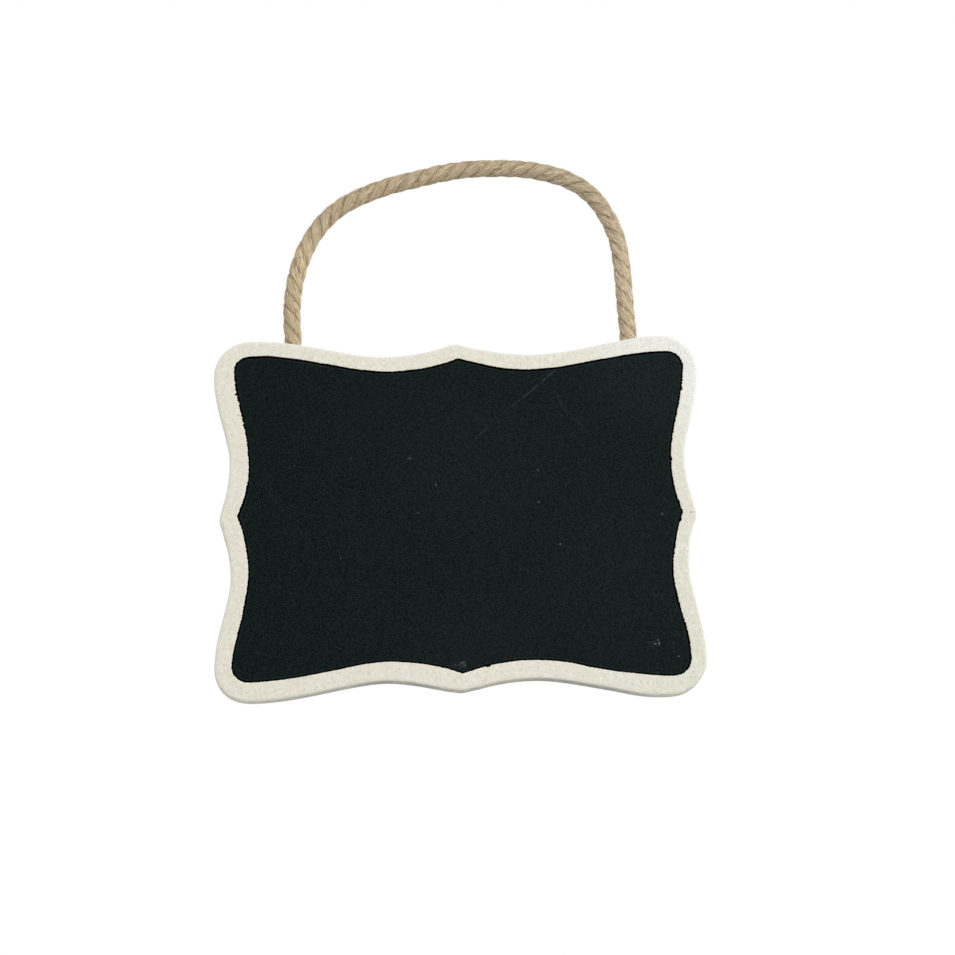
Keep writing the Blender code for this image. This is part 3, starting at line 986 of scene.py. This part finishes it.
def squared(part):
    """A sine or cosine drawn out, so that a circle becomes a flat wire's section."""
    return math.copysign(abs(part) ** STAPLE_FLATNESS, part)


# Materials

SPECULAR = "Specular IOR Level"


def fill(tree, node, sockets):
    """Set a node's sockets to numbers, vectors or colours, or link outputs to them."""
    for name, value in sockets.items():
        socket = node.inputs[name]
        if isinstance(value, bpy.types.NodeSocket):
            tree.links.new(value, socket)
        elif socket.type == "RGBA":
            socket.default_value = (*value, 1)
        else:
            socket.default_value = value


def add_node(tree, kind, sockets):
    """A new shader node with its sockets filled."""
    node = tree.nodes.new("ShaderNode" + kind)
    fill(tree, node, sockets)
    return node


class Look:
    """A Principled material, its base colour so far, and short ways to add nodes to it."""

    def __init__(self, name, colour, others):
        self.material = bpy.data.materials.new(name)
        self.material.use_nodes = True
        self.tree = self.material.node_tree
        self.shader = self.tree.nodes["Principled BSDF"]
        fill(self.tree, self.shader, {"Base Color": colour, **others})
        self.places = self.add("TexCoord", {}).outputs["Object"]
        self.base = colour

    def add(self, kind, sockets):
        return add_node(self.tree, kind, sockets)

    # Patterns

    def noise(self, scale, detail=3.0, rough=0.55, vector=None, distortion=0.0):
        sockets = {"Scale": scale, "Detail": detail, "Roughness": rough, "Distortion": distortion}
        return self.add("TexNoise", {"Vector": vector or self.places, **sockets}).outputs["Fac"]

    def cells(self, scale):
        return self.add("TexVoronoi", {"Vector": self.places, "Scale": scale}).outputs["Distance"]

    def layer(self, name):
        node = self.add("Attribute", {})
        node.attribute_name = name
        return node.outputs["Fac"]

    def stretched(self, scale, vector=None):
        sockets = {"Vector": vector or self.places, "Scale": scale}
        return self.add("Mapping", sockets).outputs["Vector"]

    def axis(self, name, vector=None):
        return self.add("SeparateXYZ", {0: vector or self.places}).outputs[name]

    # Sums

    def maths(self, kind, *values):
        node = self.add("Math", dict(enumerate(values)))
        node.operation = kind
        return node.outputs["Value"]

    plus = partialmethod(maths, "ADD")
    minus = partialmethod(maths, "SUBTRACT")
    times = partialmethod(maths, "MULTIPLY")

    def squares(self, first, second):
        return self.plus(self.times(first, first), self.times(second, second))

    def distance(self, first, second):
        return self.maths("SQRT", self.squares(first, second))

    def ramp(self, value, low, high, first=0.0, last=1.0):
        sockets = {"From Min": low, "From Max": high, "To Min": first, "To Max": last}
        node = self.add("MapRange", {"Value": value, **sockets})
        node.interpolation_type = "SMOOTHSTEP"
        return node.outputs["Result"]

    # Colours

    def mix(self, share, first, second, blend="MIX"):
        node = self.tree.nodes.new("ShaderNodeMix")
        node.data_type = "RGBA"
        node.blend_type = blend
        fill(self.tree, node, {0: share, 6: first, 7: second})
        return node.outputs[2]

    def lay(self, share, colour):
        """Lay a colour over the base by a share."""
        self.base = self.mix(share, self.base, colour)

    def over(self, colour, strength, pattern, low, high):
        """Lay a colour over the base where a pattern goes from low to high."""
        self.lay(self.ramp(pattern, low, high, 0.0, strength), colour)

    def finished(self, roughness, *bumps):
        """The material with its base, its roughness and its bumps, each with a depth."""
        normal = {}
        for height, depth in bumps:
            node = self.add("Bump", {"Height": height, "Distance": depth, **normal})
            normal = {"Normal": node.outputs["Normal"]}
        sockets = {"Base Color": self.base, "Roughness": roughness, **normal}
        fill(self.tree, self.shader, sockets)
        return self.material

    # Places on the board

    def from_board(self, x, z):
        """How far right of a place of the board a point is, and how far above it."""
        across = self.minus(self.axis("X"), x + CENTRE_X)
        up = self.minus(self.axis("Z"), z + CENTRE_Z)
        return across, up

    def spots(self, table):
        """A mask for each row of a table of spots, from its strength in the middle to 0."""
        for x, z, width, height, strength in table:
            across, up = self.from_board(x, z)
            square = self.squares(self.times(across, 2 / width), self.times(up, 2 / height))
            yield self.times(self.ramp(square, SPOT_END, SPOT_START), strength)


def paint_material():
    """Matt cream-white paint with a coarse grain, a painted highlight at the top right corner and on
    the upper edges, and painted shade under the lower edge.
    """
    look = Look("cream_paint", (0.76, 0.73, 0.62), {SPECULAR: 0.35})
    # Painted highlight at the top right corner, with a cloudy border
    cloud = look.times(look.minus(look.noise(60, 2), 0.5), 0.012)
    away = look.plus(look.distance(*look.from_board(*HIGHLIGHT_PLACE)), cloud)
    corner_highlight = look.ramp(away, HIGHLIGHT_END, HIGHLIGHT_START)
    low = look.ramp(look.axis("Z"), CENTRE_Z, CENTRE_Z - OPENING_HEIGHT / 2)
    right = look.ramp(look.axis("X"), OPENING_LENGTH / 4, OPENING_LENGTH / 2)
    look.base = look.mix(low, CREAM, CREAM_BELOW)
    look.lay(right, CREAM_RIGHT)
    look.lay(corner_highlight, CREAM_HIGHLIGHT)
    tall = look.stretched((1, 1, 0.8))
    flat = look.stretched((1.1, 1, 1.3))
    look.over((0.630, 0.602, 0.490), 0.60, look.noise(950, 2, 0.6), 0.49, 0.34)
    look.over((0.880, 0.868, 0.790), 0.58, look.noise(850, 2, 0.6, tall), 0.50, 0.66)
    look.over((0.830, 0.730, 0.632), 0.45, look.noise(420, 2), 0.48, 0.66)
    look.over((0.750, 0.758, 0.610), 0.34, look.noise(290, 2, 0.5, flat), 0.50, 0.68)
    look.over((0.460, 0.430, 0.350), 0.22, look.cells(330), 0.050, 0.032)
    # More of the painted highlight at the top right corner
    look.lay(look.times(corner_highlight, 0.30), (0.820, 0.832, 0.785))
    # Painted highlight on the upper edges, and painted shade under the lower edge in deeper patches
    edge = look.layer("edge")
    look.over(PAINT_HIGHLIGHT, 0.90, edge, 0.05, 0.90)
    patches = look.ramp(look.noise(180, 3), 0.3, 0.7, 0.4, 0.7)
    for near in look.spots(EDGE_SHADE_SPOTS):
        patches = look.plus(patches, near)
    look.lay(look.times(look.ramp(edge, -0.30, -1.0), patches), PAINT_SHADE)
    for near in look.spots(PAINT_SPOTS):
        look.lay(near, PAINT_MARK)
    rough = look.ramp(look.noise(600, 3), 0.3, 0.7, 0.52, 0.72)
    fine = (look.noise(1300, 4, 0.6), 0.00016)
    return look.finished(rough, fine, (look.noise(260, 3), 0.00030))


def arc_mask(look, start, middle, end, half_width, fade):
    """How near a point of the panel is to an arc through three places, from 0 to 1."""
    a, b, c = [Vector(place) / 1000 for place in (start, middle, end)]
    d = 2 * (a.x * (b.y - c.y) + b.x * (c.y - a.y) + c.x * (a.y - b.y))
    squares = [p.length_squared for p in (a, b, c)]
    x = (squares[0] * (b.y - c.y) + squares[1] * (c.y - a.y) + squares[2] * (a.y - b.y)) / d
    z = (squares[0] * (c.x - b.x) + squares[1] * (a.x - c.x) + squares[2] * (b.x - a.x)) / d
    radius = (a - Vector((x, z))).length
    off = look.maths("ABSOLUTE", look.minus(look.distance(*look.from_board(x, z)), radius))
    line = look.ramp(off, half_width / 1000, half_width / 3000)
    left, right = c.x + CENTRE_X, a.x + CENTRE_X
    from_left = look.ramp(look.axis("X"), left, left + fade / 1000)
    from_right = look.ramp(look.axis("X"), right + 0.0005, right - 0.0015)
    broken = look.ramp(look.noise(620, 3), 0.38, 0.58, 0.25, 1.0)
    return look.times(look.times(line, broken), look.times(from_left, from_right))


def coat_material():
    """Matt blackish green writing coat: pebbled grain, paler rim, painted sheen as a chalk haze, and
    scratches.
    """
    look = Look("writing_coat", (0.006, 0.012, 0.011), {SPECULAR: 0.08})
    grain = look.ramp(look.noise(1935, 2, 0.6), 0.38, 0.64)
    look.base = look.mix(grain, COAT_DARK, COAT_PALE)
    look.over((0.0070, 0.0145, 0.0136), 0.14, look.noise(780, 2, 0.6), 0.42, 0.70)
    # Painted sheen: the coat lightens towards the right and in soft spots, as a dusty haze
    sheen_and_haze = look.ramp(look.axis("X"), -OPENING_LENGTH / 2, OPENING_LENGTH / 2, 0.0, SHEEN_RISE)
    for near in look.spots(SHEEN_AND_CHALK_HAZES):
        sheen_and_haze = look.plus(sheen_and_haze, near)
    dusty = look.ramp(look.noise(1250, 3, 0.6), 0.38, 0.64, 0.25, 1.75)
    look.lay(look.times(sheen_and_haze, dusty), COAT_SHEEN_HAZE)
    look.over((0.0085, 0.0148, 0.0142), 0.12, look.noise(38, 3), 0.42, 0.75)
    look.over((0.0200, 0.0320, 0.0300), 0.45, look.cells(420), 0.10, 0.05)
    patchy = look.ramp(look.noise(520, 2), 0.35, 0.65, 0.25, 0.9)
    look.lay(look.times(look.layer("rim"), patchy), COAT_RIM)
    for start, middle, end, half_width, strength, fade in SCRATCHES_MM:
        scratch = arc_mask(look, start, middle, end, half_width, fade)
        look.lay(look.times(scratch, strength), COAT_SCRATCH)
    wiped = look.ramp(look.noise(1100, 3, 0.7), 0.44, 0.66)
    for near in look.spots(SMEARS):
        look.lay(look.times(near, wiped), COAT_SMEAR)
    for near in look.spots(COAT_SPOTS):
        look.lay(near, COAT_HOLE)
    rough = look.ramp(look.noise(900, 2), 0.3, 0.7, 0.78, 0.95)
    fine = (look.noise(1500, 3, 0.6), 0.00006)
    return look.finished(rough, fine, (look.cells(1100), 0.00004))


def gap_shade_material():
    """Near-lightless black on the walls of the narrow gap round the panel: their black paint
    darkened into painted shade.
    """
    look = Look("gap_painted_shade", (0.0015, 0.0020, 0.0020), {SPECULAR: 0.05})
    cloud = look.ramp(look.noise(700, 2), 0.35, 0.65)
    look.base = look.mix(cloud, (0.0008, 0.0011, 0.0011), (0.0024, 0.0030, 0.0030))
    rough = look.ramp(look.noise(900, 2), 0.3, 0.7, 0.88, 0.98)
    return look.finished(rough, (look.noise(1500, 2), 0.00004))


def board_material():
    """Bare fibreboard: fine fibres, a few darker flecks and pale clouds."""
    look = Look("bare_fibreboard", (0.40, 0.27, 0.16), {SPECULAR: 0.25})
    fibres = look.noise(1, 5, 0.65, look.stretched((420, 420, 1500)), 0.6)
    look.base = look.mix(look.ramp(fibres, 0.32, 0.70), (0.31, 0.20, 0.115), (0.47, 0.33, 0.205))
    look.over((0.20, 0.125, 0.07), 0.60, look.noise(1300, 2, 0.5), 0.62, 0.75)
    look.over((0.50, 0.355, 0.225), 0.30, look.noise(28, 2), 0.35, 0.70)
    rough = look.ramp(fibres, 0.3, 0.7, 0.74, 0.90)
    return look.finished(rough, (fibres, 0.00012), (look.noise(160, 2), 0.00010))


def jute_material():
    """Twisted plant fibre: pale streaks along the yarns, painted shade between the strands, the
    yarns and over the arc, painted highlight on the crests.
    """
    sheen = {"Sheen Weight": 0.25, "Sheen Roughness": 0.5}
    look = Look("jute_fibre", (0.60, 0.47, 0.29), {SPECULAR: 0.25, **sheen})
    node = look.add("UVMap", {})
    node.uv_map = "lay"
    run = look.axis("X", node.outputs["UV"])
    around = look.axis("Y", node.outputs["UV"])
    lean = look.times(run, YARN_SLANT / LAY_UNITS / (2 * pi / STRANDS))
    slanted = look.add("CombineXYZ", {0: run, 1: look.minus(around, lean)}).outputs[0]
    streaks = look.noise(1, 3, 0.6, look.stretched((2.2, 9, 1), slanted), 0.4)
    threads = look.noise(1, 3, 0.6, look.stretched((4.5, 20, 1), slanted), 0.6)
    look.base = look.mix(look.layer("tone"), JUTE_DARK, JUTE_PALE)
    look.over(JUTE_LIGHT, 0.90, streaks, 0.50, 0.60)
    look.over(JUTE_SHADE, 0.85, streaks, 0.49, 0.39)
    look.over(JUTE_LIGHT, 0.88, threads, 0.51, 0.60)
    look.over(JUTE_SHADE, 0.85, threads, 0.48, 0.39)
    rightwards = look.ramp(look.axis("X"), LOOP_ROUTE[0][0], LOOP_ROUTE[-1][0])
    tint = look.mix(rightwards, JUTE_LEFT, JUTE_RIGHT)
    look.base = look.mix(1.0, look.base, tint, "MULTIPLY")
    look.over(JUTE_PINK, 0.52, look.noise(320, 2), 0.46, 0.60)
    shifted = look.stretched((1, 1, 1.2))
    look.over(JUTE_GREEN, 0.52, look.noise(220, 2, 0.5, shifted), 0.52, 0.66)
    # Painted shade in the gaps between yarns and in the creases between strands, and a painted
    # highlight on the crests
    look.over(JUTE_DEEP, 0.70, look.layer("gap"), 0.40, 1.0)
    hidden = look.ramp(look.noise(230, 3, 0.65), 0.42, 0.60, 0.30, 1.0)
    groove = look.ramp(look.layer("groove"), 0.25, 1.0, 0.0, 0.60)
    look.lay(look.times(groove, hidden), JUTE_DEEP)
    look.over(JUTE_LIGHT, 0.20, look.layer("groove"), 0.30, 0.0)
    # Painted shade over the loop's arc, and down the left leg near the board
    look.over(JUTE_DEEP, 0.19, look.axis("Z"), ARC_SHADE_START, ARC_SHADE_END)
    left = look.ramp(look.axis("X"), 0.0, LOOP_ROUTE[0][0])
    shaded = look.ramp(look.axis("Z"), SHADED_START, SHADED_END, 0.0, 0.11)
    look.lay(look.times(left, shaded), JUTE_DEEP)
    rough = look.ramp(streaks, 0.3, 0.7, 0.80, 0.95)
    return look.finished(rough, (threads, 0.00020), (streaks, 0.00030))


def fibre_material():
    """Single jute hairs, paler than the rope."""
    look = Look("jute_hair", (0.68, 0.58, 0.41), {})
    tone = look.ramp(look.noise(900, 2), 0.35, 0.65)
    look.base = look.mix(tone, (0.56, 0.45, 0.29), (0.78, 0.69, 0.52))
    rough = look.ramp(look.noise(2500, 1), 0.3, 0.7, 0.7, 0.9)
    return look.finished(rough, (look.noise(9000, 2), 0.00001))


def wire_material():
    """Galvanised wire with fine drawing marks and dull spots."""
    look = Look("galvanised_wire", (0.62, 0.61, 0.58), {"Metallic": 1.0})
    marks = look.noise(1, 3, 0.6, look.stretched((300, 300, 9000)))
    dull = look.ramp(look.noise(900, 2), 0.5, 0.7)
    look.base = look.mix(look.ramp(marks, 0.3, 0.7), (0.55, 0.54, 0.52), (0.70, 0.69, 0.66))
    look.lay(look.times(dull, 0.5), (0.42, 0.41, 0.40))
    return look.finished(look.ramp(marks, 0.3, 0.7, 0.26, 0.46), (marks, 0.00002))


def chalk_material():
    """Dusty grey-white chalk, thinner in places."""
    look = Look("chalk_dust", (0.30, 0.31, 0.30), {SPECULAR: 0.1})
    thin = look.ramp(look.noise(3200, 3, 0.6), 0.35, 0.65)
    look.base = look.mix(thin, (0.07, 0.08, 0.08), (0.34, 0.36, 0.345))
    return look.finished(look.ramp(thin, 0, 1, 0.88, 0.98), (look.noise(6000, 3), 0.00003))


def seen_share(tree):
    """1 where the camera, metal or glass sees a surface, and 0 where it lights others."""
    paths = add_node(tree, "LightPath", {}).outputs
    seen = paths["Is Camera Ray"]
    for name in ("Is Glossy Ray", "Is Transmission Ray"):
        either = add_node(tree, "Math", {0: seen, 1: paths[name]})
        either.operation = "MAXIMUM"
        seen = either.outputs["Value"]
    return seen


def floor_material():
    """Plain pale floor with a faint unevenness, seen nearly white and white at its edge."""
    look = Look("pale_floor", (0.86, 0.86, 0.86), {})
    cloud = look.ramp(look.noise(3, 2), 0.3, 0.7)
    look.base = look.mix(cloud, (0.85, 0.85, 0.85), (0.88, 0.88, 0.88))
    made = look.finished(0.7, (look.noise(40, 2), 0.0002))
    away = look.distance(look.axis("X"), look.axis("Y"))
    whiteness = look.ramp(away, FLOOR_SIDE / 6, FLOOR_SIDE / 2, FLOOR_WHITENESS, 1.0)
    share = look.times(seen_share(look.tree), whiteness)
    white = look.add("Emission", {})
    sockets = {0: share, 1: look.shader.outputs[0], 2: white.outputs[0]}
    choice = look.add("MixShader", sockets)
    fill(look.tree, look.tree.nodes["Material Output"], {"Surface": choice.outputs[0]})
    return made


# Stage

FLOOR_Z = -1.05
FLOOR_SIDE = 6.0
FLOOR_WHITENESS = 0.75
AMBIENT = 0.38

# Soft lamps that face the board's middle: name, place, width, height, power
LAMPS = [
    ("key_right", (1.25, -1.38, 0.60), 1.0, 1.1, 21.8),
    ("fill_front", (-0.55, -1.45, 0.50), 1.1, 0.9, 4.9),
    ("side_left", (-1.15, -0.15, 0.35), 0.5, 0.7, 2),
    ("rim_right", (0.75, 0.60, 0.30), 0.5, 0.7, 5),
]


def make_camera():
    """The photograph's camera, from the fit of the board's outline."""
    data = bpy.data.cameras.new("photo_camera")
    data.sensor_width = SENSOR_WIDTH_MM
    data.lens = SENSOR_WIDTH_MM * CAMERA_FOCAL_PIXELS / IMAGE_SIDE
    data.clip_start, data.clip_end = 0.05, 20
    camera = added("photo_camera", data)
    heading = Vector(CAMERA_AIM) - Vector(CAMERA_PLACE)
    roll = Matrix.Rotation(radians(CAMERA_ROLL_DEG), 3, "Z")
    turn = heading.to_track_quat("-Z", "Y").to_matrix() @ roll
    camera.matrix_world = Matrix.Translation(CAMERA_PLACE) @ turn.to_4x4()
    bpy.context.scene.camera = camera


def make_lights():
    """Large soft lamps: one from the right, weak ones in front, at the left and behind."""
    for name, place, width, height, power in LAMPS:
        data = bpy.data.lights.new(name, "AREA")
        data.shape = "RECTANGLE"
        data.energy, data.size, data.size_y = power, width, height
        lamp = added(name, data)
        lamp.location = place
        heading = Vector((0, 0, CENTRE_Z)) - Vector(place)
        lamp.rotation_euler = heading.to_track_quat("-Z", "Y").to_euler()


def make_world():
    """White where the camera, metal or glass sees it, and a plain level elsewhere."""
    world = bpy.data.worlds.new("pale_room")
    bpy.context.scene.world = world
    world.use_nodes = True
    tree = world.node_tree
    tree.nodes.clear()
    lit = add_node(tree, "Background", {"Color": (1, 1, 1), "Strength": AMBIENT})
    white = add_node(tree, "Background", {"Color": (1, 1, 1)})
    sockets = {0: seen_share(tree), 1: lit.outputs[0], 2: white.outputs[0]}
    choice = add_node(tree, "MixShader", sockets)
    add_node(tree, "OutputWorld", {"Surface": choice.outputs[0]})


def make_floor():
    """A plain floor far below, so that nothing hides the back."""
    half = FLOOR_SIDE / 2
    corners = [(-half, -half), (half, -half), (half, half), (-half, half)]
    mesh = bpy.data.meshes.new("floor")
    mesh.from_pydata([(x, y, FLOOR_Z) for x, y in corners], [], [(0, 1, 2, 3)])
    mesh.materials.append(floor_material())
    added("floor", mesh)


def build():
    """Camera and rope first, then the board."""
    make_camera()
    wire = wire_material()
    staples = []
    for side in ("left", "right"):
        for level in ("upper", "lower"):
            staples.append(make_staple(f"staple_{side}_{level}", wire))
    line, length = rope_line()
    rope = make_rope(jute_material(), line, length, staples)
    fibres = make_fibres(fibre_material(), line, length)
    start, end = (0, 0, HINGE_Z - BLEND_BELOW), (0, 0, HINGE_Z + BLEND_ABOVE)
    for piece in (rope, fibres):
        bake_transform(piece)
        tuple(start)
        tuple(end)
    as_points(line)
    paint, gap_shade = paint_material(), gap_shade_material()
    make_frame(paint, gap_shade)
    make_panel(coat_material())
    make_back(board_material(), paint, gap_shade)
    make_crumbs(chalk_material())
    make_floor()
    make_lights()
    make_world()
    bpy.context.scene.view_settings.view_transform = "Standard"


build()
